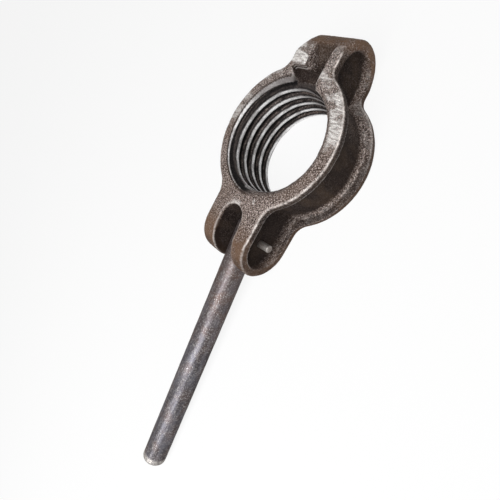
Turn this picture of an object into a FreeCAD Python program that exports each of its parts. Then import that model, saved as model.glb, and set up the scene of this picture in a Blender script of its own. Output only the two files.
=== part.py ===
"""Scaffolding prop nut: an iron casting with a threaded bore and two lugs, and a bar handle pinned in its fork.

The origin is on the bore axis, in the flat bearing face that the nut lies on. +Z runs along the bore to the
front face, and +X runs out along the handle lug. Lengths are in millimetres and angles in degrees.
"""
import FreeCAD, Part
import math
import os
import Sketcher

doc = FreeCAD.newDocument("prop_nut")
sheet = doc.addObject("Spreadsheet::Sheet", "Dims")

# Driving dimensions: name, value, what it measures
DIMENSIONS = [
    ("thickness", 36.0, "casting, from the bearing face to the front face"),
    ("bore_radius", 28.75, "crests of the bore's thread"),
    ("mouth_bevel", 3.25, "bevel of the bore's front mouth, as wide as it is deep"),
    ("thread_pitch", 7.1, "rise of the bore's right-hand thread in one turn"),
    ("thread_depth", 2.6, "depth of the thread's groove below the crests"),
    ("groove_mouth", 4.3, "width of that groove at the crests"),
    ("groove_root", 1.3, "width of that groove at its root"),
    ("groove_rise", 0.12, "bearing face to the middle of the groove, on the handle's side"),
    ("ring_wall", 5.55, "ring's wall between the flanges, outside the thread's crests"),
    ("ring_flange", 4.9, "how far the front flange stands out from that wall"),
    ("back_flange_extra", 1.6, "how much further the back flange stands out round the ring"),
    ("front_flange", 5.0, "thickness of the front flange"),
    ("back_flange", 5.0, "thickness of the back flange, and of the bridge behind the fork"),
    ("handle_lug_length", 33.8, "handle lug, from the ring's edge to its round tip"),
    ("handle_lug_neck", 12.0, "hollow radius between that lug and the ring"),
    ("fork_wall", 4.2, "prong of the fork, from the slot to the bottom of the side channel"),
    ("fork_flange", 6.4, "how far the flanges stand out from a prong"),
    ("strike_lug_length", 21.9, "striking lug, from the ring's edge to its round tip"),
    ("strike_lug_neck", 8.0, "hollow radius between that lug and the ring"),
    ("strike_wall", 2.5, "striking lug's wall, from its pocket to the bottom of the side channel"),
    ("strike_flange", 4.0, "how far the flanges stand out from that wall"),
    ("channel_hollow", 4.0, "hollow radius between the ring's wall and a lug's, inside a channel"),
    ("tip_wall", 5.0, "rim that closes a channel at a lug's tip"),
    ("channel_end_flat", 1.0, "flat left between the two rounds of a channel's end"),
    ("channel_root", 1.6, "bevel along the bottom of a channel"),
    ("edge_bevel", 0.9, "bevel of the flanges' outer edges"),
    ("pivot_setback", 17.4, "handle lug's tip to the handle's pivot"),
    ("pivot_rise", 11.9, "handle's pivot above the bridge"),
    ("fork_skew", 4.8, "how far the fork, pin and bar are turned off square, about the bore's direction"),
    ("slot_gap", 0.4, "side play of the bar in the fork"),
    ("slot_room", 5.4, "gap between the bar's inner end and the round end of the slot"),
    ("pocket_near", 4.0, "bore axis to the side of the striking lug's pocket beside the step"),
    ("pocket_far", 8.5, "bore axis to the other side of that pocket"),
    ("pocket_depth", 11.0, "depth of that pocket"),
    ("pocket_floor", 4.5, "step wall to the foot of the pocket's sloping end"),
    ("pocket_slope", 10.5, "how far that end slopes towards the tip"),
    ("ground_back", 11.1, "striking lug's tip to the middle of its ground corner"),
    ("ground_side", 2.9, "striking lug's side to the middle of that corner"),
    ("ground_drop", 1.4, "front face down to the middle of that corner"),
    ("ground_lean", 61.0, "lean of that corner from the front face"),
    ("step_gap", 6.0, "bore's mouth to the step wall across the striking lug"),
    ("notch_depth", 4.5, "depth of the notch between the rim's end and the step wall"),
    ("notch_wall", 2.0, "striking lug's side to the narrow end of the notch"),
    ("notch_width", 0.8, "width of the notch at that end"),
    ("rim_end", 7.2, "bore axis to the end of the rim, beside the notch"),
    ("bar_radius", 8.0, "handle bar"),
    ("bar_reach", 168.5, "pivot to the bar's outer end"),
    ("bar_tail", 10.0, "pivot to the bar's inner end"),
    ("bar_end_bevel", 1.2, "bevel of the bar's outer end"),
    ("bar_tail_bevel", 2.5, "bevel of the bar's inner end, which turns in the slot"),
    ("pin_radius", 2.25, "pivot pin"),
    ("pin_proud", 7.4, "how far the pin stands out of one prong"),
    ("pin_far_proud", 2.4, "how far it stands out of the other"),
    ("pin_bevel", 0.4, "bevel of the pin's ends"),
    ("pin_drive_gap", 0.02, "radial gap of the pin in the casting"),
    ("pin_run_gap", 0.08, "radial gap of the pin in the bar"),
]


class Size:
    """A size with its value as drawn and its expression in the sheet, so that each is written once."""

    def __init__(self, value, text):
        self.value = value
        self.text = text

    def __add__(self, other):
        return Size(self.value + other.value, f"({self.text} + {other.text})")

    def __sub__(self, other):
        return Size(self.value - other.value, f"({self.text} - {other.text})")

    def __truediv__(self, parts):
        return Size(self.value / parts, f"({self.text} / {parts})")

    def __neg__(self):
        return Size(-self.value, f"(-{self.text})")


dims = {}
for row, (alias, value, words) in enumerate(DIMENSIONS, start=1):
    sheet.set(f"A{row}", words)
    sheet.set(f"B{row}", str(value))
    sheet.setAlias(f"B{row}", alias)
    dims[alias] = Size(value, f"Dims.{alias}")
doc.recompute()
ON_AXIS = Size(0, "0")

POINT = {"start": 1, "end": 2, "centre": 3}
START, END, CENTRE = POINT["start"], POINT["end"], POINT["centre"]
ORIGIN = (-1, 1)
X_AXIS, Y_AXIS = -1, -2
NEAR = 0.01


def bind(thing, field, size):
    thing.setExpression(field, size.text)


def make_body(label):
    body = doc.addObject("PartDesign::Body", label)
    body.Label = label
    return body


def origin_plane(body, role):
    return next(feature for feature in body.Origin.OriginFeatures if feature.Role == role)


def make_sketch(body, name, role):
    """A sketch on one of the body's own origin planes."""
    sketch = body.newObject("Sketcher::SketchObject", name)
    sketch.AttachmentSupport = (origin_plane(body, role), [""])
    sketch.MapMode = "FlatFace"
    return sketch


def line(sketch, a, b):
    ends = [FreeCAD.Vector(x, y, 0) for x, y in (a, b)]
    return sketch.addGeometry(Part.LineSegment(*ends), False)


def arc(sketch, centre, radius, first_deg, last_deg):
    """An arc drawn counter-clockwise from first_deg to last_deg."""
    circle = Part.Circle(FreeCAD.Vector(*centre, 0), FreeCAD.Vector(0, 0, 1), radius)
    return sketch.addGeometry(Part.ArcOfCircle(circle, math.radians(first_deg), math.radians(last_deg)), False)


def tie(sketch, kind, *where):
    return sketch.addConstraint(Sketcher.Constraint(kind, *where))


def measure(sketch, kind, size, *where):
    """A dimension of the sketch that follows the sheet."""
    index = tie(sketch, kind, *where, size.value)
    sketch.setExpression(f"Constraints[{index}]", size.text)


def smooth_joins(sketch, joins):
    for join in joins:
        tie(sketch, "Tangent", *join)


def hold(sketch, side, x, y):
    """Holds the start of a side at x, y."""
    for size, kind, axis in ((x, "DistanceX", Y_AXIS), (y, "DistanceY", X_AXIS)):
        if size is ON_AXIS:
            tie(sketch, "PointOnObject", side, START, axis)
        else:
            measure(sketch, kind, size, *ORIGIN, side, START)


def polygon(sketch, corners):
    """Straight sides through corners that all follow the sheet."""
    places = [(x.value, y.value) for x, y in corners]
    sides = [line(sketch, a, b) for a, b in zip(places, places[1:] + places[:1])]
    for side, after in zip(sides, sides[1:] + sides[:1]):
        tie(sketch, "Coincident", side, END, after, START)
    for side, (x, y) in zip(sides, corners):
        hold(sketch, side, x, y)


def round_hole(sketch, radius):
    circle = Part.Circle(FreeCAD.Vector(0, 0, 0), FreeCAD.Vector(0, 0, 1), radius.value)
    hole = sketch.addGeometry(circle, False)
    tie(sketch, "Coincident", hole, CENTRE, *ORIGIN)
    measure(sketch, "Radius", radius, hole)


def cut(body, name, sketch, depth, midplane=False, outward=False):
    """A pocket, which has to take metal away."""
    before = body.Tip.Shape.Volume
    pocket = body.newObject("PartDesign::Pocket", name)
    pocket.Profile = sketch
    pocket.Midplane = midplane
    pocket.Reversed = outward
    bind(pocket, "Length", depth)
    doc.recompute()
    if pocket.Shape.Volume > before - NEAR:
        raise RuntimeError(f"{name} cuts nothing")
    return pocket


def turn(body, kind, name, sketch, axis):
    """A revolution or a groove, all the way round."""
    turned = body.newObject(kind, name)
    turned.Profile = sketch
    turned.ReferenceAxis = (sketch, [axis])
    turned.Angle = 360
    doc.recompute()
    return turned


def dress_edges(body, kind, name, base, field, size, wanted):
    """A fillet or a chamfer on the edges of base that the test picks out."""
    names = [f"Edge{k}" for k, edge in enumerate(base.Shape.Edges, start=1) if wanted(edge)]
    dressed = body.newObject(kind, name)
    dressed.Base = (base, names)
    bind(dressed, field, size)
    doc.recompute()
    return dressed


def round_edges(body, name, base, radius, wanted):
    return dress_edges(body, "PartDesign::Fillet", name, base, "Radius", radius, wanted)


def bevel_edges(body, name, base, size, wanted):
    return dress_edges(body, "PartDesign::Chamfer", name, base, "Size", size, wanted)


class Neck:
    """Where the hollow between a ring and a lug's straight flank lies, by the sizes as drawn."""

    def __init__(self, ring, half, hollow):
        self.y = half.value + hollow.value
        self.x = math.sqrt((ring.value + hollow.value) ** 2 - self.y ** 2)
        self.angle = math.degrees(math.atan2(self.y, self.x))


# Casting: half of each flange's outline, from the handle lug's tip round the ring to the striking lug's
nut = make_body("nut_body")
thickness, back_shelf = dims["thickness"], dims["back_flange"]
shelf = thickness - dims["front_flange"]
bore = dims["bore_radius"]
web = bore + dims["ring_wall"]
ring = web + dims["ring_flange"]
slot_half = dims["bar_radius"] + dims["slot_gap"]
wall = slot_half + dims["fork_wall"]
half, reach, hollow = wall + dims["fork_flange"], ring + dims["handle_lug_length"], dims["handle_lug_neck"]
s_wall = dims["pocket_far"] + dims["strike_wall"]
s_half, s_reach = s_wall + dims["strike_flange"], ring + dims["strike_lug_length"]
s_hollow = dims["strike_lug_neck"]


def half_block(name, radius, bottom, top):
    """Half of the casting between two heights, with the ring's edge at a radius."""
    outline = make_sketch(nut, f"{name}_outline", "XY_Plane")
    bind(outline, "AttachmentOffset.Base.z", bottom)
    neck, s_neck = Neck(radius, half, hollow), Neck(radius, s_half, s_hollow)
    tip = line(outline, (reach.value, 0), (reach.value, half.value))
    flank = line(outline, (reach.value, half.value), (neck.x, half.value))
    neck_arc = arc(outline, (neck.x, neck.y), hollow.value, 180 + neck.angle, 270)
    rim_arc = arc(outline, (0, 0), radius.value, neck.angle, 180 - s_neck.angle)
    s_neck_arc = arc(outline, (-s_neck.x, s_neck.y), s_hollow.value, 270, 360 - s_neck.angle)
    s_flank = line(outline, (-s_neck.x, s_half.value), (-s_reach.value, s_half.value))
    s_tip = line(outline, (-s_reach.value, s_half.value), (-s_reach.value, 0))
    middle = line(outline, (-s_reach.value, 0), (reach.value, 0))
    smooth_joins(outline, [
        (flank, END, neck_arc, END), (neck_arc, START, rim_arc, START),
        (rim_arc, END, s_neck_arc, END), (s_neck_arc, START, s_flank, START)])
    for side, after in ((tip, flank), (s_flank, s_tip), (s_tip, middle), (middle, tip)):
        tie(outline, "Coincident", side, END, after, START)
    tie(outline, "Coincident", rim_arc, CENTRE, *ORIGIN)
    tie(outline, "PointOnObject", tip, START, X_AXIS)
    tie(outline, "PointOnObject", s_tip, END, X_AXIS)
    for side in (tip, s_tip):
        tie(outline, "Vertical", side)
    for side in (flank, s_flank):
        tie(outline, "Horizontal", side)
    for round_part, size in ((rim_arc, radius), (neck_arc, hollow), (s_neck_arc, s_hollow)):
        measure(outline, "Radius", size, round_part)
    measure(outline, "DistanceX", reach, *ORIGIN, tip, START)
    measure(outline, "DistanceX", s_reach, s_tip, END, *ORIGIN)
    measure(outline, "DistanceY", half, *ORIGIN, flank, START)
    measure(outline, "DistanceY", s_half, *ORIGIN, s_flank, START)
    block = nut.newObject("PartDesign::Pad", name)
    block.Profile = outline
    bind(block, "Length", top - bottom)
    doc.recompute()
    return block


half_back = half_block("half_back", ring + dims["back_flange_extra"], ON_AXIS, back_shelf)
half_front = half_block("half_front", ring, back_shelf, thickness)

# Side channel between the flanges: its bottom follows the ring's wall and the lugs' inner walls
channel = make_sketch(nut, "channel", "XY_Plane")
bind(channel, "AttachmentOffset.Base.z", shelf)
web_hollow = dims["channel_hollow"]
end_x, s_end_x = reach - dims["tip_wall"], s_reach - dims["tip_wall"]
web_neck, s_web_neck = Neck(web, wall, web_hollow), Neck(web, s_wall, web_hollow)
outside = half + ring

end_wall = line(channel, (end_x.value, outside.value), (end_x.value, wall.value))
bottom = line(channel, (end_x.value, wall.value), (web_neck.x, wall.value))
web_neck_arc = arc(channel, (web_neck.x, web_neck.y), web_hollow.value, 180 + web_neck.angle, 270)
web_arc = arc(channel, (0, 0), web.value, web_neck.angle, 180 - s_web_neck.angle)
s_web_neck_arc = arc(channel, (-s_web_neck.x, s_web_neck.y), web_hollow.value, 270, 360 - s_web_neck.angle)
s_bottom = line(channel, (-s_web_neck.x, s_wall.value), (-s_end_x.value, s_wall.value))
s_end_wall = line(channel, (-s_end_x.value, s_wall.value), (-s_end_x.value, outside.value))
open_side = line(channel, (-s_end_x.value, outside.value), (end_x.value, outside.value))
smooth_joins(channel, [
    (bottom, END, web_neck_arc, END), (web_neck_arc, START, web_arc, START),
    (web_arc, END, s_web_neck_arc, END), (s_web_neck_arc, START, s_bottom, START)])
for side, after in ((end_wall, bottom), (s_bottom, s_end_wall), (s_end_wall, open_side), (open_side, end_wall)):
    tie(channel, "Coincident", side, END, after, START)
tie(channel, "Coincident", web_arc, CENTRE, *ORIGIN)
tie(channel, "Equal", web_neck_arc, s_web_neck_arc)
for side in (end_wall, s_end_wall):
    tie(channel, "Vertical", side)
for side in (bottom, s_bottom, open_side):
    tie(channel, "Horizontal", side)
measure(channel, "Radius", web, web_arc)
measure(channel, "Radius", web_hollow, web_neck_arc)
measure(channel, "DistanceX", end_x, *ORIGIN, bottom, START)
measure(channel, "DistanceX", s_end_x, s_bottom, END, *ORIGIN)
measure(channel, "DistanceY", wall, *ORIGIN, bottom, START)
measure(channel, "DistanceY", s_wall, *ORIGIN, s_bottom, START)
measure(channel, "DistanceY", outside, *ORIGIN, end_wall, START)
half_channel = cut(nut, "half_channel", channel, shelf - back_shelf)

both_halves = nut.newObject("PartDesign::Mirrored", "both_halves")
both_halves.Originals = [half_back, half_front, half_channel]
both_halves.MirrorPlane = (origin_plane(nut, "XZ_Plane"), [""])
nut.Tip = both_halves
doc.recompute()


# Cast forms of the channels: their round ends, then the bevel along their bottoms
def is_level_at(edge, heights):
    box = edge.BoundBox
    return any(max(abs(box.ZMin - z.value), abs(box.ZMax - z.value)) < NEAR for z in heights)


def crosses_channel_end(edge):
    box = edge.BoundBox
    at_end = abs(box.XMin - end_x.value) < NEAR or abs(box.XMin + s_end_x.value) < NEAR
    return at_end and box.XLength < NEAR and is_level_at(edge, (shelf, back_shelf))


def is_channel_bottom(face):
    """The ring's wall, a hollow beside it or a lug's inner wall."""
    surface = face.Surface
    if isinstance(surface, Part.Cylinder):
        return abs(surface.Axis.z) > 1 - NEAR and any(
            abs(surface.Radius - radius.value) < NEAR for radius in (web, web_hollow))
    if isinstance(surface, Part.Plane):
        return abs(surface.Axis.y) > 1 - NEAR and any(
            abs(abs(surface.Position.y) - y.value) < NEAR for y in (wall, s_wall))
    return False


def borders_channel_bottom(edge):
    faces = ends_rounded.Shape.ancestorsOfType(edge, Part.Face)
    return sum(is_channel_bottom(face) for face in faces) == 1


end_round = (shelf - back_shelf - dims["channel_end_flat"]) / 2
ends_rounded = round_edges(nut, "channel_ends", both_halves, end_round, crosses_channel_end)
bevel_edges(nut, "channel_bottoms", ends_rounded, dims["channel_root"], borders_channel_bottom)

# Round tips of the two lugs, seen from the side: what lies outside a half circle is cut away
tips = make_sketch(nut, "tips", "XZ_Plane")
round_x, s_round_x = reach - thickness / 2, thickness / 2 - s_reach
for centre_x, far_x, first_deg, last_deg in ((round_x, reach + round_x, -90, 90),
                                             (s_round_x, s_round_x - s_reach, 90, 270)):
    tip_arc = arc(tips, (centre_x.value, thickness.value / 2), thickness.value / 2, first_deg, last_deg)
    measure(tips, "DistanceX", centre_x, *ORIGIN, tip_arc, CENTRE)
    top_end, low_end = (END, START) if first_deg < 0 else (START, END)
    corners = [
        (centre_x, thickness),
        (centre_x, thickness + back_shelf),
        (far_x, thickness + back_shelf),
        (far_x, -back_shelf),
        (centre_x, -back_shelf),
        (centre_x, ON_AXIS)]
    places = [(x.value, y.value) for x, y in corners]
    sides = [line(tips, a, b) for a, b in zip(places, places[1:])]
    for side, after in zip(sides, sides[1:]):
        tie(tips, "Coincident", side, END, after, START)
    for side, (x, y) in zip(sides, corners):
        hold(tips, side, x, y)
    tie(tips, "Coincident", sides[0], START, tip_arc, top_end)
    tie(tips, "Coincident", sides[-1], END, tip_arc, low_end)
    tie(tips, "Vertical", sides[-1])
    tie(tips, "PointOnObject", sides[-1], END, X_AXIS)
tipped = cut(nut, "round_tips", tips, half + half + half, midplane=True)


# Worn bevel of the flanges' outer edges
def follows_outline(edge):
    """An edge of the front or back face, or its run round a lug's tip."""
    if isinstance(edge.Curve, Part.Circle) and abs(edge.Curve.Axis.y) > 1 - NEAR:
        return abs(edge.Curve.Radius - thickness.value / 2) < NEAR
    return is_level_at(edge, (ON_AXIS, thickness)) and edge.BoundBox.XLength > NEAR


bevel_edges(nut, "outline_edges", tipped, dims["edge_bevel"], follows_outline)

# Bore at its thread crests, turned together with the bevel of its front mouth
bore_section = make_sketch(nut, "bore_section", "XZ_Plane")
mouth_bevel = dims["mouth_bevel"]
mouth = bore + mouth_bevel
polygon(bore_section, [
    (ON_AXIS, -mouth_bevel),
    (bore, -mouth_bevel),
    (bore, thickness - mouth_bevel),
    (mouth, thickness),
    (mouth, thickness + mouth_bevel),
    (ON_AXIS, thickness + mouth_bevel)])
turn(nut, "PartDesign::Groove", "bore", bore_section, "V_Axis")


def set_turned(sketch, axis, angle, **place):
    """Moves a sketch from its plane's origin and turns it about an axis given in the plane's own directions."""
    sketch.AttachmentOffset = FreeCAD.Placement(FreeCAD.Vector(), FreeCAD.Rotation(axis, angle.value))
    bind(sketch, "AttachmentOffset.Rotation.Angle", angle)
    for letter, size in place.items():
        bind(sketch, f"AttachmentOffset.Base.{letter}", size)


# Fork: a slot from the front face down to the bridge, open at the lug's tip and square to the pin
pivot_x, pivot_z = reach - dims["pivot_setback"], back_shelf + dims["pivot_rise"]
skew = dims["fork_skew"]
slot_round_x = slot_half - dims["bar_tail"] - dims["slot_room"]
slot_open_x = dims["pivot_setback"] + half
slot = make_sketch(nut, "fork_slot", "XY_Plane")
set_turned(slot, FreeCAD.Vector(0, 0, 1), skew, x=pivot_x, z=thickness)
inner_x, open_x, side_y = slot_round_x.value, slot_open_x.value, slot_half.value
slot_round = arc(slot, (inner_x, 0), side_y, 90, 270)
far_side = line(slot, (inner_x, -side_y), (open_x, -side_y))
open_end = line(slot, (open_x, -side_y), (open_x, side_y))
near_side = line(slot, (open_x, side_y), (inner_x, side_y))
smooth_joins(slot, [(slot_round, END, far_side, START), (near_side, END, slot_round, START)])
tie(slot, "Coincident", far_side, END, open_end, START)
tie(slot, "Coincident", open_end, END, near_side, START)
tie(slot, "PointOnObject", slot_round, CENTRE, X_AXIS)
tie(slot, "Vertical", open_end)
for side in (far_side, near_side):
    tie(slot, "Horizontal", side)
measure(slot, "Radius", slot_half, slot_round)
measure(slot, "DistanceX", slot_round_x, *ORIGIN, slot_round, CENTRE)
measure(slot, "DistanceX", slot_open_x, *ORIGIN, open_end, START)
cut(nut, "fork", slot, thickness - back_shelf)

# Pin hole through both prongs of the fork
pin_hole = make_sketch(nut, "pin_hole", "XZ_Plane")
set_turned(pin_hole, FreeCAD.Vector(0, 1, 0), skew, x=pivot_x, y=pivot_z)
round_hole(pin_hole, dims["pin_radius"] + dims["pin_drive_gap"])
cut(nut, "pin_holes", pin_hole, half + half + half, midplane=True)

# Striking lug: the notch between the rim's end and the step wall, then the deep pocket with its sloping end
step_x, rim_end = mouth + dims["step_gap"], dims["rim_end"]
pocket_near, pocket_far = dims["pocket_near"], dims["pocket_far"]
notch_side, rim_end_x = dims["notch_wall"] - s_half, rim_end - mouth
notch = make_sketch(nut, "notch", "XY_Plane")
bind(notch, "AttachmentOffset.Base.z", thickness)
polygon(notch, [
    (-step_x, notch_side),
    (dims["notch_width"] - step_x, notch_side),
    (-mouth, -rim_end),
    (rim_end_x, -rim_end),
    (rim_end_x, pocket_far),
    (-step_x, pocket_far)])
cut(nut, "notch_cut", notch, dims["notch_depth"])

pocket_bottom, slope_foot = thickness - dims["pocket_depth"], -(step_x + dims["pocket_floor"])
pocket = make_sketch(nut, "strike_pocket", "XZ_Plane")
bind(pocket, "AttachmentOffset.Base.z", pocket_near)
polygon(pocket, [
    (-step_x, thickness),
    (slope_foot - dims["pocket_slope"], thickness),
    (slope_foot, pocket_bottom),
    (-step_x, pocket_bottom)])
cut(nut, "strike_pocket_cut", pocket, pocket_near + pocket_far)

# Striking lug's corner on the far side, ground off in one flat facet
GROUND_AXIS = FreeCAD.Vector(5, -3, 0)
ground = make_sketch(nut, "ground_corner", "XY_Plane")
set_turned(ground, GROUND_AXIS, dims["ground_lean"], x=dims["ground_back"] - s_reach,
           y=dims["ground_side"] - s_half, z=thickness - dims["ground_drop"])
polygon(ground, [(s_half, s_half), (-s_half, s_half), (-s_half, -s_half), (s_half, -s_half)])
cut(nut, "ground_corner_cut", ground, s_half, outward=True)

# Thread: a groove that winds up the bore to the right, from below the bearing face to above the front face
pitch, groove_depth = dims["thread_pitch"], dims["thread_depth"]
mouth_half, root_half = dims["groove_mouth"] / 2, dims["groove_root"] / 2
inner_half = mouth_half + (mouth_half - root_half) / 2
inner_radius, root_radius = bore - groove_depth / 2, bore + groove_depth
groove_z = dims["groove_rise"] - pitch
groove_section = make_sketch(nut, "groove_section", "XZ_Plane")
polygon(groove_section, [
    (inner_radius, groove_z - inner_half),
    (root_radius, groove_z - root_half),
    (root_radius, groove_z + root_half),
    (inner_radius, groove_z + inner_half)])
unthreaded = nut.Tip.Shape.Volume
thread = nut.newObject("PartDesign::SubtractiveHelix", "thread")
thread.Profile = groove_section
thread.ReferenceAxis = (groove_section, ["V_Axis"])
thread.Mode = "pitch-height-angle"
bind(thread, "Pitch", pitch)
bind(thread, "Height", thickness + pitch + pitch)
doc.recompute()
if thread.Shape.Volume > unthreaded - NEAR:
    raise RuntimeError("the thread cuts nothing")

# Handle bar, drawn along X from the pivot and turned, then drilled for the pin
bar = make_body("handle_bar")
bar_section = make_sketch(bar, "bar_section", "XZ_Plane")
bar_radius, bar_reach, bar_tail = dims["bar_radius"], dims["bar_reach"], dims["bar_tail"]
end_bevel, tail_bevel = dims["bar_end_bevel"], dims["bar_tail_bevel"]
polygon(bar_section, [
    (-bar_tail, ON_AXIS),
    (bar_reach, ON_AXIS),
    (bar_reach, bar_radius - end_bevel),
    (bar_reach - end_bevel, bar_radius),
    (tail_bevel - bar_tail, bar_radius),
    (-bar_tail, bar_radius - tail_bevel)])
turn(bar, "PartDesign::Revolution", "bar_round", bar_section, "H_Axis")
bar_hole = make_sketch(bar, "bar_hole", "XZ_Plane")
round_hole(bar_hole, dims["pin_radius"] + dims["pin_run_gap"])
cut(bar, "bar_drilled", bar_hole, slot_half + slot_half, midplane=True)

# Pivot pin, drawn along Y from the pivot and turned
pin = make_body("pivot_pin")
pin_section = make_sketch(pin, "pin_section", "XY_Plane")
pin_radius, pin_bevel = dims["pin_radius"], dims["pin_bevel"]
pin_near, pin_far = wall + dims["pin_proud"], wall + dims["pin_far_proud"]
polygon(pin_section, [
    (ON_AXIS, -pin_far),
    (pin_radius - pin_bevel, -pin_far),
    (pin_radius, pin_bevel - pin_far),
    (pin_radius, pin_near - pin_bevel),
    (pin_radius - pin_bevel, pin_near),
    (ON_AXIS, pin_near)])
turn(pin, "PartDesign::Revolution", "pin_round", pin_section, "V_Axis")

# The pin lies across the fork; the bar droops from it until the lower edge of its end touches the ground
arm = (bar_reach - end_bevel).value
droop = math.degrees(math.asin(pivot_z.value / math.hypot(arm, bar_radius.value))
                     - math.atan2(bar_radius.value, arm))
pivot = FreeCAD.Vector(pivot_x.value, 0, pivot_z.value)
for body, lean in ((pin, 0), (bar, droop)):
    body.Placement = FreeCAD.Placement(pivot, FreeCAD.Rotation(skew.value, lean, 0))
    bind(body, "Placement.Base.x", pivot_x)
    bind(body, "Placement.Base.z", pivot_z)
doc.recompute()

# Nothing is written unless every object is sound and every piece is one valid solid
for thing in doc.Objects:
    if {"Invalid", "Error"} & set(thing.State):
        raise RuntimeError(f"{thing.Name} failed: {thing.State}")
os.makedirs("parts", exist_ok=True)
for body in (nut, bar, pin):
    shape = body.Shape
    if shape.isNull() or not shape.isValid() or len(shape.Solids) != 1:
        raise RuntimeError(f"{body.Label} is not one valid solid")
for body in (nut, bar, pin):
    body.Shape.exportStep(f"parts/{body.Label}.step")
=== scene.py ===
"""Scaffolding prop nut on a pale floor: a sand-cast threaded ring with a pinned bar handle."""
import math

import bpy
import numpy as np
from mathutils import Matrix, Vector


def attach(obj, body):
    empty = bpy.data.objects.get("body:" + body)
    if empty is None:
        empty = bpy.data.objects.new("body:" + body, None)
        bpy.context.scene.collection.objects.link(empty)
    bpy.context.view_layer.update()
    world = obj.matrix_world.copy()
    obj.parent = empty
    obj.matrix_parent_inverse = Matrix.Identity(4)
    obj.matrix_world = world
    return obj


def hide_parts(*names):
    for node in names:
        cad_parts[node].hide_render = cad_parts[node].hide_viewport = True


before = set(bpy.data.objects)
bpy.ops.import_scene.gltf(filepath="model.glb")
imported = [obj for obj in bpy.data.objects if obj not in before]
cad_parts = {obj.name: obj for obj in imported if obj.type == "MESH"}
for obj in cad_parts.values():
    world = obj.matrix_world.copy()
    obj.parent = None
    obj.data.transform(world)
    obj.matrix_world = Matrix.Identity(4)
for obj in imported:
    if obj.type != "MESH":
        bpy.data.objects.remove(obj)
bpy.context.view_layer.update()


# Casting. The real nut is one sand-cast piece of grey iron: a flanged ring with a forked lug for the handle
# and a short striking lug. Its bore is cut with a coarse right-hand thread, and its raised faces are
# rough-ground. The sizes here are in millimetres.
MM = 0.001
THICKNESS, RING, FLANGE, FLANGE_SOFT = 36.0, 39.2, 4.5, 0.7
FORK_HALF, FORK_ROUND_X = 19.0, 55.0
STRIKE_HALF, STRIKE_ROUND_X = 15.0, -43.1
LUG_ROOT_X, EYE_ROUND = 30, 13.3
CREST, MOUTH, BEVEL_FOOT = 28.75, 32.3, 33.1
THREAD_PITCH, GROOVE_RISE = 7.1, 0.12
GROOVE_DEPTH, GROOVE_MOUTH, GROOVE_ROOT = 2.6, 4.3, 1.3
PIVOT, SLOT_SKEW, SLOT_END_X, SLOT_HALF = (55.6, 0, 16.9), 0.084, 39, 8.5
MERGE_WITHIN = 0.002
CAST_GRAIN, CAST_ROUNDS, SCOOP_ROUNDS = 0.67, 2, 6
SOFTEN = 0.5
LUMP_WIDTH, LUMP_HEIGHT = 7.0, 0.30
SAND_WIDTH, SAND_HEIGHT = 1.6, 0.16
BEND_FROM, BEND_TO = 0.20, 0.48
RIB_STEP = 1.6


def only(piece):
    """Makes one object the selected and active one."""
    bpy.ops.object.select_all(action="DESELECT")
    piece.select_set(True)
    bpy.context.view_layer.objects.active = piece


def merged_copy(node, name):
    """A copy of a solid's mesh, with its loose triangles joined."""
    piece = bpy.data.objects.new(name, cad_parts[node].data.copy())
    bpy.context.collection.objects.link(piece)
    only(piece)
    bpy.ops.object.mode_set(mode="EDIT")
    bpy.ops.mesh.select_all(action="SELECT")
    bpy.ops.mesh.remove_doubles(threshold=MERGE_WITHIN * MM)
    bpy.ops.object.mode_set(mode="OBJECT")
    piece.data.materials.clear()
    return piece


def modify(piece, kind, **settings):
    """Adds a modifier and applies it."""
    only(piece)
    modifier = piece.modifiers.new(kind.lower(), kind)
    for key, value in settings.items():
        setattr(modifier, key, value)
    bpy.ops.object.modifier_apply(modifier=modifier.name)


def new_skin(piece, grain, rounds):
    """Covers a piece with even small faces and softens its edges."""
    modify(piece, "REMESH", mode="VOXEL", voxel_size=grain * MM, adaptivity=0)
    modify(piece, "SMOOTH", factor=SOFTEN, iterations=rounds)


def weigh(piece, name, values):
    """Keeps a weight from 0 to 1 a point, in quarters, for a modifier."""
    group = piece.vertex_groups.new(name=name)
    for level in range(1, 5):
        group.add(np.flatnonzero(np.round(values * 4) == level).tolist(), level / 4, "REPLACE")


def roughen(piece, width, height, where=""):
    """Raises and sinks the surface by soft noise of a width and a height."""
    lumps = bpy.data.textures.new(f"{piece.name}_lumps", "CLOUDS")
    lumps.noise_scale = width * MM
    lumps.noise_depth = 1
    modify(piece, "DISPLACE", texture=lumps, texture_coords="LOCAL", strength=height * MM, mid_level=0.5,
           vertex_group=where)


def read_points(piece, field):
    """The mesh's points or normals, one row each."""
    source = {"places": (piece.data.vertices, "co"), "normals": (piece.data.vertex_normals, "vector")}
    items, name = source[field]
    flat = np.empty(len(items) * 3)
    items.foreach_get(name, flat)
    return flat.reshape(-1, 3)


def ramp(value, low, high):
    """0 below low, 1 above high and a smooth rise between."""
    t = np.clip((value - low) / (high - low), 0, 1)
    return t * t * (3 - 2 * t)


def fade(value, low, high):
    """1 below low, 0 above high and a smooth fall between."""
    return 1 - ramp(value, low, high)


def convexity(piece):
    """How sharply the surface bends outward at each point: the change of its normal per millimetre."""
    places, normals = read_points(piece, "places") / MM, read_points(piece, "normals")
    ends = np.empty(len(piece.data.edges) * 2, dtype=np.int64)
    piece.data.edges.foreach_get("vertices", ends)
    a, b = ends.reshape(-1, 2).T
    step = places[b] - places[a]
    bend = ((normals[b] - normals[a]) * step).sum(1) / np.maximum((step * step).sum(1), 1e-9)
    count = np.bincount(np.r_[a, b], minlength=len(places))
    total = np.bincount(np.r_[a, b], weights=np.r_[bend, bend], minlength=len(places))
    return total / np.maximum(count, 1)


def paint(piece, name, values):
    """Keeps one value a point on the mesh, for its material."""
    layer = piece.data.attributes.new(name, "FLOAT", "POINT")
    layer.data.foreach_set("value", np.ascontiguousarray(values, dtype=np.float32))


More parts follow.
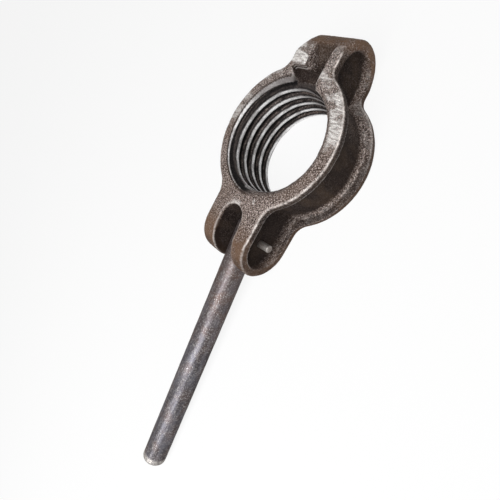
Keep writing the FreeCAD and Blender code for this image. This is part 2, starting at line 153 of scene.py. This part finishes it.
def inside_area(x, y, corners, soft):
    """1 inside a polygon of the front face, 0 outside, with a soft border."""
    nearest = np.full(len(x), 1e9)
    crossings = np.zeros(len(x), dtype=bool)
    for (ax, ay), (bx, by) in zip(corners, corners[1:] + corners[:1]):
        dx, dy = bx - ax, by - ay
        along = np.clip(((x - ax) * dx + (y - ay) * dy) / (dx * dx + dy * dy), 0, 1)
        nearest = np.minimum(nearest, np.hypot(x - ax - along * dx, y - ay - along * dy))
        if ay != by:
            crossings ^= ((ay > y) != (by > y)) & (x < ax + (y - ay) * dx / dy)
    return ramp(np.where(crossings, nearest, -nearest), -soft, soft)


def channel_depths(places):
    """How far each point lies inside the flanges' outline, and how well it lies between the flanges."""
    x, y, z = places.T
    side = np.abs(y)
    inside = RING - np.hypot(x, y)
    front_flange = THICKNESS - FLANGE
    between = ramp(z, FLANGE - FLANGE_SOFT, FLANGE + FLANGE_SOFT)
    between = between * fade(z, front_flange - FLANGE_SOFT, front_flange + FLANGE_SOFT)
    for half, round_x, way in ((FORK_HALF, FORK_ROUND_X, 1), (STRIKE_HALF, STRIKE_ROUND_X, -1)):
        beyond = way * (x - round_x)
        on_lug = way * x > LUG_ROOT_X
        inside = np.where(on_lug, np.maximum(inside, half - side), inside)
        from_eye = np.hypot(np.maximum(beyond, 0), z - THICKNESS / 2)
        between = np.where(beyond > 0, fade(from_eye, EYE_ROUND - 1, EYE_ROUND + 1), between)
    return inside, between


casting = merged_copy("nut_body", "casting")
new_skin(casting, CAST_GRAIN, CAST_ROUNDS)

# The channels are scooped: their corners run together into soft hollows. The back face stays flat.
places = read_points(casting, "places") / MM
inside, between = channel_depths(places)
outside_bore = ramp(np.hypot(places[:, 0], places[:, 1]), MOUTH + 0.1, MOUTH + 0.7)
scoop = ramp(inside, -0.5, 0.8) * fade(inside, 7.2, 7.8) * between * outside_bore
weigh(casting, "scooped", scoop)
modify(casting, "SMOOTH", factor=SOFTEN, iterations=SCOOP_ROUNDS, vertex_group="scooped")
weigh(casting, "off_the_floor", ramp(places[:, 2], 0.4, 1.8))
roughen(casting, LUMP_WIDTH, LUMP_HEIGHT, "off_the_floor")
roughen(casting, SAND_WIDTH, SAND_HEIGHT, "off_the_floor")
only(casting)
bpy.ops.object.shade_smooth()

# Cut metal: the bore's wall and the bevel at its mouth, the groove's root in painted shade, and bright crests
# with a painted highlight along their middles and painted shade on the near side
places, normals = read_points(casting, "places") / MM, read_points(casting, "normals")
x, y, z = places.T
upward = normals[:, 2]
radius = np.hypot(x, y)
inside, between = channel_depths(places)
far_side = fade(y, -2, 10)
above_foot = ramp(z, BEVEL_FOOT - 0.5, BEVEL_FOOT + 0.5)
mouth_bevel = fade(radius, MOUTH - 0.2, MOUTH + 0.2) * above_foot * far_side
in_bore = fade(radius, MOUTH - 0.3, MOUTH + 0.5) * fade(upward, 0.8, 0.95) * (1 - above_foot)
in_bore = np.maximum(in_bore, mouth_bevel)
rise = THREAD_PITCH * np.arctan2(y, x) / (2 * math.pi) + GROOVE_RISE
from_groove = np.abs((z - rise + THREAD_PITCH / 2) % THREAD_PITCH - THREAD_PITCH / 2)
groove_half = GROOVE_MOUTH / 2 - (radius - CREST) * (GROOVE_MOUTH - GROOVE_ROOT) / 2 / GROOVE_DEPTH
in_groove = fade(from_groove - groove_half, 0.0, 0.5) * fade(radius, MOUTH - 0.3, MOUTH + 0.3)
# A painted highlight along the middle of each crest and over the mouth's bevel
crest_and_bevel_highlight = np.maximum(ramp(from_groove, 2.3, 3.0), mouth_bevel)
# Painted shade on the crests of the near side
shaded_near_side = ramp(y - 0.3 * x, -8, 14)
polish_highlight_and_shade = in_bore * (1 - in_groove) * (0.55 + 0.45 * crest_and_bevel_highlight) * (1 - 0.85 * shaded_near_side)
paint(casting, "bore", in_bore)
# Painted shade in the groove's root
paint(casting, "groove_shade", in_bore * in_groove)
paint(casting, "polish_and_highlight", polish_highlight_and_shade * (1 - mouth_bevel * (0.35 + 0.45 * ramp(-x, 10, 24))))

# Painted shade in the hollows: the channels, painted paler on the back flange's upward ledge and the eye's
# floor, the fork's slot, and the striking lug's pocket and notch
in_channel = ramp(inside, 0.3, 3.4) * between * outside_bore * fade(inside, 7.4, 8.2)
in_channel = in_channel * (1 - 0.2 * ramp(-x, 8, 24) * fade(-x, 31, 37))
ledge = ramp(upward, 0.2, 0.7) * fade(z, 8, 12)
ledge_light = ledge * (0.95 - 0.75 * ramp(inside, 2.0, 6.0)) * (1 - 0.55 * ramp(x, 22, 36))
eye_floor = ramp(-x, 36, 44) * fade(z, 9, 19) * ramp(upward, -0.05, 0.4)
in_channel = in_channel * (1 - ledge_light) * (1 - 0.75 * eye_floor)
from_slot_middle = np.abs(y - SLOT_SKEW * (x - PIVOT[0]))
in_slot = ramp(x, SLOT_END_X - 1, SLOT_END_X + 1) * fade(from_slot_middle, SLOT_HALF, SLOT_HALF + 0.7)
in_slot = in_slot * fade(z, 33.5, 35)
POCKET = [(-56, -4.1), (-37.9, -4.1), (-37.9, 8.6), (-56, 8.6)]
POCKET_FOOT, POCKET_SLOPE = 42.5, 0.95
above_slope = z - POCKET_SLOPE * (-x - POCKET_FOOT)
in_pocket = inside_area(x, y, POCKET, 0.3) * fade(above_slope, 27, 30) * (1 - 0.8 * ramp(-x, 49.5, 52.5))
NOTCH = [(-38, -13), (-37.2, -13), (-32, -7.2), (-24.8, -7.2), (-24.8, 8.5), (-38, 8.5)]
in_notch = inside_area(x, y, NOTCH, 0.4) * fade(z, 33.5, 35.2) * ramp(radius, MOUTH - 1.3, MOUTH - 0.3)
under_notch = fade(radius, MOUTH - 0.8, MOUTH + 0.2) * ramp(upward, 0.5, 0.8) * ramp(z, 26, 28)
in_notch = np.maximum(in_notch, under_notch * fade(z, 33, 34.5))

# Painted shade on the outside: a shadow line round the mouth, the flanges' steep edges, the ledge's rim and
# the prongs, most on their steep sides
THICK_SHADE, THIN_SHADE = 0.85, 0.55
lip_shadow = ramp(radius, MOUTH - 0.2, MOUTH + 0.1) * fade(radius, MOUTH + 0.8, MOUTH + 1.3)
lip_shadow = lip_shadow * ramp(z, 34.2, 35) * far_side
steep = fade(np.abs(upward), 0.65, 0.9)
flank_edge = fade(inside, 0.6, 1.4) * steep * fade(x, 50, 58) * fade(-x, 44, 52)
front_edge = flank_edge * ramp(z, 26, 30) * fade(z, 34.6, 35.5)
back_edge = flank_edge * fade(z, 4, 5.2)
ledge_rim = ledge * fade(inside, 1.2, 2.8) * ramp(y, 0, 15) * ramp(x, -34, 0) * fade(x, 54, 64)
prongs = ramp(x, 44, 60) * (1 - between) * (0.15 + 0.40 * steep)
# All the painted shade together, kept as one value a point for the material
shade_amount = np.maximum.reduce([
    in_channel, in_slot, in_notch, lip_shadow, prongs, THICK_SHADE * in_pocket, THICK_SHADE * front_edge,
    THICK_SHADE * ledge_rim, THIN_SHADE * back_edge])
paint(casting, "painted_shade", shade_amount)

# Ground faces: how bright each is, how soft its border is and its corners on the front face
GROUND_AREAS = [
    (1.00, 0.8, [(-38.2, -15.5), (-46, -14.5), (-51, -11), (-50.6, -6.4), (-45.7, -4.6), (-38.2, -3.6)]),
    (0.80, 1.2, [(-33, 20), (-26, 29.5), (-18, 35), (-7.8, 39), (-2.3, 33.4), (-12, 30), (-22, 24), (-29, 15),
                 (-33.5, 8.5), (-37, 9)]),
    (0.20, 1.0, [(-51, 8.8), (-36, 8.8), (-36, 14), (-51, 14)]),
    (0.55, 0.8, [(-32, -7.5), (-37.2, -13.2), (-37, -17.5), (-31, -25), (-25, -21)]),
    (0.55, 3.0, [(-31, -25), (-25, -21), (-13, -31), (2, -34), (2, -40), (-16, -38)]),
    (0.80, 0.3, [(32.8, 9.0), (35.6, 9.5), (35.4, 10.6), (32.8, 10.2)]),
    (0.60, 0.7, [(42.5, -8.6), (38.4, -4), (37.8, 1.5), (39.8, 1.5), (40.3, -3), (43, -6.5)])]
LEDGE_BRIGHT = 0.20
faces_front = ramp(upward, 0.45, 0.75) * ramp(z, 26, 30)
ground_off = LEDGE_BRIGHT * ledge * fade(inside, 2.0, 4.5) * ramp(z, 3.6, 4.4)
for strength, soft, corners in GROUND_AREAS:
    ground_off = np.maximum(ground_off, strength * faces_front * inside_area(x, y, corners, soft))
paint(casting, "ground", ground_off * (1 - shade_amount))

# Worn edges with a painted highlight, strongest on the near side of the front flange's rim, the ribs left by
# a cutter on the step's wall, and rust on the lug tips and round the back
FAINT_WEAR_AND_SHINE = 0.25
bend = ramp(convexity(casting), BEND_FROM, BEND_TO)
front_rim = ramp(z, 35.0, 35.5) * ramp(y, 6, 12) * fade(inside, 0.5, 1.1)
back_rim = ramp(z, 4.2, 4.8) * fade(z, 6, 8) * ramp(y, 6, 12) * fade(inside, -0.9, 0.1) * (1 - ledge_rim)
other_edges = ramp(z, 16, 30) * fade(-x, 34, 37)
wear_and_highlight = np.maximum.reduce([front_rim, FAINT_WEAR_AND_SHINE * back_rim, FAINT_WEAR_AND_SHINE * other_edges])
paint(casting, "edge", bend * (1 - in_bore) * wear_and_highlight)
step_wall = ramp(-x, 36.3, 37.2) * fade(-x, 38.4, 39) * ramp(-y, 3.2, 4.2) * fade(-y, 13, 14)
paint(casting, "ribbed", step_wall * ramp(z, 31, 32) * fade(z, 35.4, 36))
lug_tips = np.maximum(ramp(-x, 46, 54), ramp(x, 44, 60)) * (1 - between)
paint(casting, "rust", np.maximum(lug_tips, fade(z, 3.0, 4.6) * (1 - in_bore)))
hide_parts("nut_body")
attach(casting, "nut")


class Signal:
    """A shader output that takes part in sums and products by adding Math nodes."""

    def __init__(self, finish, socket):
        self.finish = finish
        self.socket = socket

    def math(self, operation, *others):
        """This value and others, put through one Math node."""
        return self.finish.node("ShaderNodeMath", {"operation": operation}, dict(enumerate((self,) + others)))

    def __add__(self, other):
        return self.math("ADD", other)

    def __mul__(self, other):
        return self.math("MULTIPLY", other)

    def __rsub__(self, other):
        return self.finish.node("ShaderNodeMath", {"operation": "SUBTRACT"}, {0: other, 1: self})

    __radd__ = __add__
    __rmul__ = __mul__

    def rise(self, low, high):
        """0 below low, 1 above high and a smooth rise between."""
        return self.finish.node("ShaderNodeMapRange", {"interpolation_type": "SMOOTHSTEP"},
                                {"Value": self, "From Min": low, "From Max": high})


class Finish:
    """The nodes of a material or a world, measured in millimetres of the piece's own place."""

    def __init__(self, owner):
        self.owner = owner
        owner.use_nodes = True
        self.tree = owner.node_tree
        self.tree.nodes.clear()

    def node(self, kind, settings=None, inputs=None, output=0):
        """A node with its settings and then the values or links of its sockets, as one of its outputs."""
        made = self.tree.nodes.new(kind)
        for key, value in (settings or {}).items():
            setattr(made, key, value)
        for key, value in (inputs or {}).items():
            if isinstance(value, Signal):
                self.tree.links.new(value.socket, made.inputs[key])
            else:
                made.inputs[key].default_value = value
        return Signal(self, made.outputs[output]) if made.outputs else None

    def place(self, stretch=(1, 1, 1)):
        """The point's own place, scaled along each axis."""
        spot = self.node("ShaderNodeTexCoord", None, None, "Object")
        scale = [s / MM for s in stretch]
        return self.node("ShaderNodeVectorMath", {"operation": "MULTIPLY"}, {0: spot, 1: scale})

    def noise(self, width, detail=2.0, stretch=(1, 1, 1)):
        """Noise whose blotches are about so many millimetres wide."""
        return self.node("ShaderNodeTexNoise", None,
                         {"Vector": self.place(stretch), "Scale": 1 / width, "Detail": detail})

    def kept(self, name):
        """A value painted on the piece's points."""
        return self.node("ShaderNodeAttribute", {"attribute_name": name}, None, "Fac")

    def mix(self, factor, a, b):
        """Colour a where the factor is 0 and b where it is 1."""
        a, b = (c if isinstance(c, Signal) else (*c, 1) for c in (a, b))
        return self.node("ShaderNodeMix", {"data_type": "RGBA"}, {0: factor, 6: a, 7: b}, 2)

    def bump(self, height, distance, under=None):
        """A normal that follows a height, raised by so many millimetres."""
        inputs = {"Height": height, "Distance": distance * MM, "Strength": 1.0}
        if under:
            inputs["Normal"] = under
        return self.node("ShaderNodeBump", None, inputs)

    def surface(self, **inputs):
        """The finished surface, with each socket's spaces written as underscores."""
        sockets = {name.replace("_", " "): value for name, value in inputs.items()}
        shader = self.node("ShaderNodeBsdfPrincipled", None, sockets)
        self.node("ShaderNodeOutputMaterial", None, {"Surface": shader})


SKIN_DARK, SKIN_PALE = (0.118, 0.085, 0.070), (0.200, 0.156, 0.136)
SPECK_PALE, PIT_DARK = (0.60, 0.513, 0.478), (0.028, 0.019, 0.016)
CLOUD_BROWN, RUST_BROWN = (0.125, 0.088, 0.068), (0.130, 0.074, 0.044)
# Colours of the painted shade in the hollows and on the steep sides
SHADE_DARK, SHADE_BROWN = (0.0125, 0.0080, 0.0068), (0.038, 0.0255, 0.0180)
CUT_DULL, CUT_BRIGHT, CUT_PIT = (0.11, 0.094, 0.090), (0.95, 0.94, 0.94), (0.10, 0.085, 0.08)
# Colours of the painted shade in the thread's groove
ROOT_SHADE, ROOT_SHADE_SPECK = (0.005, 0.0042, 0.0042), (0.022, 0.019, 0.019)
GROUND_GREY, GROUND_BRIGHT = (0.60, 0.575, 0.55), (0.97, 0.95, 0.93)
RIB_GREY, WEAR_AND_HIGHLIGHT_PALE = (0.30, 0.275, 0.26), (0.86, 0.80, 0.76)
SAND_BUMP, BLOTCH_BUMP = 0.75, 0.5

iron = Finish(bpy.data.materials.new("sand_cast_iron"))
grain, pits, fleck = iron.noise(0.60, 3.0), iron.noise(0.78, 2.0), iron.noise(0.5, 1.0)
blotch, cloud = iron.noise(5.0, 3.0), iron.noise(22.0, 2.0)
smear, scored = iron.noise(4.2, 5.0, (0.7, 0.5, 1)), iron.noise(0.8, 2.0, (1, 0.2, 1))
shade_mottle = iron.noise(9.0, 3.0, (1, 1, 0.4))
painted_shade, ground, edge = iron.kept("painted_shade"), iron.kept("ground"), iron.kept("edge")
groove_shade, rust, bore, polish_and_highlight = iron.kept("groove_shade"), iron.kept("rust"), iron.kept("bore"), iron.kept("polish_and_highlight")
speck, spark = grain.rise(0.48, 0.66), fleck.rise(0.50, 0.66)
skin = iron.mix(blotch.rise(0.35, 0.65), SKIN_DARK, SKIN_PALE)
skin = iron.mix(speck, skin, SPECK_PALE)
skin = iron.mix(pits.rise(0.48, 0.58) * 0.93, skin, PIT_DARK)
skin = iron.mix(cloud.rise(0.45, 0.65) * 0.35, skin, CLOUD_BROWN)
skin = iron.mix(rust * (0.45 + 0.45 * blotch.rise(0.3, 0.6)), skin, RUST_BROWN)
# Painted shade: a mottled near-black brown laid over the skin in the hollows and on the steep sides
shade_tone = iron.mix(shade_mottle.rise(0.40, 0.68), SHADE_DARK, SHADE_BROWN)
skin = iron.mix(painted_shade * (0.82 + 0.18 * blotch), skin, shade_tone)
# Cut metal, brighter where it is polished and where the crests' highlight is painted
cut_metal = iron.mix(polish_and_highlight * (0.42 + 0.3 * speck + 0.55 * smear.rise(0.38, 0.60)), CUT_DULL, CUT_BRIGHT)
cut_metal = iron.mix(pits.rise(0.54, 0.68) * 0.45, cut_metal, CUT_PIT)
# Painted shade in the groove's root: near-black with specks
cut_metal = iron.mix(groove_shade, cut_metal, iron.mix(speck, ROOT_SHADE, ROOT_SHADE_SPECK))
skin = iron.mix(bore, skin, cut_metal)
# Ground metal, paler than the skin, with streaks of painted sheen across it
ground_and_sheen = ground * (0.10 + 0.90 * smear.rise(0.45, 0.56)) * (0.45 + 0.65 * scored.rise(0.42, 0.58))
skin = iron.mix(ground_and_sheen, skin, iron.mix(spark, GROUND_GREY, GROUND_BRIGHT))
height = iron.node("ShaderNodeSeparateXYZ", None, {"Vector": iron.place()}, "Z")
ribs = (height * (2 * math.pi / RIB_STEP)).math("SINE")
skin = iron.mix(iron.kept("ribbed") * ribs.rise(-0.1, 0.7), skin, RIB_GREY)
# Wear on the edges, together with a painted highlight on the edges that face the light
worn_and_lit = edge * (0.8 + 0.45 * blotch.rise(0.30, 0.60))
skin = iron.mix(worn_and_lit, skin, WEAR_AND_HIGHLIGHT_PALE)
shine = ground_and_sheen.math("MAXIMUM", worn_and_lit).math("MAXIMUM", polish_and_highlight)
iron.surface(
    Base_Color=skin,
    Specular_IOR_Level=0.08,
    Metallic=0.02 + 0.40 * shine,
    Roughness=0.62 - 0.18 * shine + 0.16 * painted_shade,
    Normal=iron.bump(grain, SAND_BUMP, iron.bump(blotch, BLOTCH_BUMP)))
casting.data.materials.append(iron.owner)


# Handle. A plain length of round steel bar, sawn off, cross-drilled near its inner end and worn round and
# bright at its outer end. It swings in the fork on the pivot pin, and is browner where hands don't reach.
BAR_YAW, BAR_DROOP, BAR_REACH = 4.8, 3.05, 168.5
BAR_GRAIN, BAR_ROUNDS, SAWN_ANGLE = 0.7, 2, 40
BAR_LUMP_WIDTH, BAR_LUMP_HEIGHT = 9.0, 0.18
DRILL_RADIUS, DRILL_LENGTH, DRILL_SIDES = 2.65, 30, 48
WORN_LENGTH, WORN_BORDER = 4.0, 1.6
BAR_DARK, BAR_BLUE = (0.052, 0.052, 0.060), (0.118, 0.120, 0.140)
PATINA_BROWN, BAR_GRIT = (0.100, 0.064, 0.050), (0.25, 0.24, 0.235)
BAR_FLECK, BAR_WORN = (0.70, 0.69, 0.70), (0.42, 0.395, 0.37)
BAR_BUMP, STREAK_BUMP = 0.18, 0.16
bar = merged_copy("handle_bar", "handle")
new_skin(bar, BAR_GRAIN, BAR_ROUNDS)
roughen(bar, BAR_LUMP_WIDTH, BAR_LUMP_HEIGHT)

# The cross hole is drilled afresh and a little wide, because the bar's new skin leaves it ragged
bpy.ops.object.select_all(action="DESELECT")
bpy.ops.mesh.primitive_cylinder_add(
    vertices=DRILL_SIDES, radius=DRILL_RADIUS * MM, depth=DRILL_LENGTH * MM, location=Vector(PIVOT) * MM,
    rotation=(math.pi / 2, 0, math.radians(BAR_YAW)))
drill = bpy.context.object
modify(bar, "BOOLEAN", operation="DIFFERENCE", object=drill, solver="EXACT")
bpy.data.objects.remove(drill)
only(bar)
bpy.ops.object.shade_smooth_by_angle(angle=math.radians(SAWN_ANGLE))

yaw, droop = math.radians(BAR_YAW), math.radians(BAR_DROOP)
axis = np.array([math.cos(droop) * math.cos(yaw), math.cos(droop) * math.sin(yaw), -math.sin(droop)])
reach = (read_points(bar, "places") / MM - np.array(PIVOT)) @ axis
worn_from = reach.max() - WORN_LENGTH
paint(bar, "edge", ramp(reach, worn_from - WORN_BORDER, worn_from))
paint(bar, "reach", reach / BAR_REACH)
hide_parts("handle_bar")
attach(bar, "handle")

steel = Finish(bpy.data.materials.new("handled_steel"))
grain, fleck = steel.noise(1.0, 3.0), steel.noise(0.7, 1.0)
streak, blotch = steel.noise(3.0, 3.0, (0.16, 1, 1)), steel.noise(9.0, 3.0)
near_fork = 1 - steel.kept("reach").rise(0.08, 0.55)
patina = 0.15 + blotch.rise(0.44, 0.62) * 0.30 + near_fork * 0.36
tone = steel.mix(streak.rise(0.35, 0.65), BAR_DARK, BAR_BLUE)
tone = steel.mix(patina, tone, PATINA_BROWN)
tone = steel.mix(grain.rise(0.50, 0.66) * 0.55, tone, BAR_GRIT)
tone = steel.mix(fleck.rise(0.62, 0.76) * blotch.rise(0.46, 0.60) * 0.6, tone, BAR_FLECK)
tone = steel.mix(steel.kept("edge") * (0.35 + 0.5 * grain.rise(0.35, 0.6)), tone, BAR_WORN)
steel.surface(
    Base_Color=tone,
    Specular_IOR_Level=0.3,
    Specular_Tint=(0.35, 0.32, 0.30, 1),
    Metallic=0.9 - 0.4 * patina,
    Roughness=0.36 + 0.22 * grain,
    Normal=steel.bump(grain, BAR_BUMP, steel.bump(streak, STREAK_BUMP)))
bar.data.materials.append(steel.owner)


# Pivot pin. A cut length of drawn steel wire, left bare. It is driven through both prongs of the fork and
# through the bar between them, and stands out of one prong.
PIN_GRAIN, PIN_ROUNDS, WIRE_BUMP = 0.22, 3, 0.06
WIRE_GREY, WIRE_BROWN, WIRE_GLINT = (0.25, 0.228, 0.212), (0.14, 0.110, 0.090), (0.42, 0.405, 0.39)
pin = merged_copy("pivot_pin", "pin")
new_skin(pin, PIN_GRAIN, PIN_ROUNDS)
only(pin)
bpy.ops.object.shade_smooth()
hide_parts("pivot_pin")
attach(pin, "nut")

wire = Finish(bpy.data.materials.new("drawn_wire"))
grain, smear = wire.noise(0.5, 2.0), wire.noise(2.5, 2.0, (1, 0.25, 1))
tone = wire.mix(smear.rise(0.4, 0.65), WIRE_GREY, WIRE_BROWN)
tone = wire.mix(grain.rise(0.5, 0.7) * 0.5, tone, WIRE_GLINT)
wire.surface(Base_Color=tone, Metallic=0.6, Roughness=0.36 + 0.2 * grain, Normal=wire.bump(grain, WIRE_BUMP))
pin.data.materials.append(wire.owner)


# Floor. A wide sheet of pale matte paper that the nut lies on. The camera sees it as almost white, and it
# keeps the nut's soft shadow.
FLOOR_SIDE = 30
PAPER_GREY, PAPER_WHITE = (0.62, 0.62, 0.62, 1), (1, 1, 1, 1)
WHITE_SHARE = 0.89
bpy.ops.mesh.primitive_plane_add(size=FLOOR_SIDE)
floor = bpy.context.object
floor.name = "floor"


def seen(finish):
    """1 for the rays that show a surface to the camera, straight, by gloss or through glass."""
    rays = [finish.node("ShaderNodeLightPath", None, None, name)
            for name in ("Is Camera Ray", "Is Glossy Ray", "Is Transmission Ray")]
    return rays[0].math("MAXIMUM", rays[1]).math("MAXIMUM", rays[2])


paper = Finish(bpy.data.materials.new("pale_paper"))
matte = paper.node("ShaderNodeBsdfDiffuse", None, {"Color": PAPER_GREY})
white = paper.node("ShaderNodeEmission", None, {"Color": PAPER_WHITE, "Strength": 1})
sheet = paper.node("ShaderNodeMixShader", None, {0: seen(paper) * WHITE_SHARE, 1: matte, 2: white})
paper.node("ShaderNodeOutputMaterial", None, {"Surface": sheet})
floor.data.materials.append(paper.owner)


# Studio light. A large soft lamp above the nut, a long soft lamp that runs beside the handle and draws a
# streak along it, and an even pale surround that looks whiter than it lights.
SURROUND_LIGHT, SURROUND_SEEN = 0.16, 0.96
SURROUND_WHITE = (1, 1, 1, 1)


def soft_lamp(name, place, target, sides, watts):
    """A rectangular lamp at a place, turned to a target, both in metres."""
    data = bpy.data.lights.new(name, "AREA")
    data.shape = "RECTANGLE"
    data.size, data.size_y = sides
    data.energy = watts
    lamp = bpy.data.objects.new(name, data)
    lamp.location = place
    lamp.rotation_euler = (Vector(target) - Vector(place)).to_track_quat("-Z", "Y").to_euler()
    bpy.context.collection.objects.link(lamp)


soft_lamp("key_lamp", place=(-0.05, 0.25, 0.55), target=(0, 0, 0.02), sides=(0.25, 0.25), watts=1.7)
soft_lamp("bar_lamp", place=(0.43, 0.19, 0.46), target=(0.43, 0, 0.01), sides=(0.62, 0.28), watts=4.7)
surround = Finish(bpy.data.worlds.new("surround"))
strength = SURROUND_LIGHT + (SURROUND_SEEN - SURROUND_LIGHT) * seen(surround)
glow = surround.node("ShaderNodeBackground", None, {"Color": SURROUND_WHITE, "Strength": strength})
surround.node("ShaderNodeOutputWorld", None, {"Surface": glow})
bpy.context.scene.world = surround.owner


# Camera. It stands close above the near side of the ring and looks down across the bore at its far wall,
# rolled so that the handle runs to the lower left. Its place is in metres and its focal length in pixels.
CAMERA_PLACE = (0.02101, 0.13033, 0.16649)
CAMERA_RIGHT = (-0.4710, 0.6157, -0.6317)
CAMERA_DOWN = (0.8584, 0.4848, -0.1675)
CAMERA_AHEAD = (0.2031, -0.6212, -0.7569)
PHOTO_FOCUS, PHOTO_SIZE = 335.7, 500
SENSOR, NEAREST = 36, 0.01
camera_data = bpy.data.cameras.new("camera")
camera_data.sensor_width = SENSOR
camera_data.lens = SENSOR * PHOTO_FOCUS / PHOTO_SIZE
camera_data.clip_start = NEAREST
camera = bpy.data.objects.new("camera", camera_data)
turn = Matrix((CAMERA_RIGHT, -Vector(CAMERA_DOWN), -Vector(CAMERA_AHEAD))).transposed()
camera.matrix_world = Matrix.Translation(CAMERA_PLACE) @ turn.to_4x4()
bpy.context.collection.objects.link(camera)
bpy.context.scene.camera = camera
bpy.context.scene.view_settings.view_transform = "Standard"
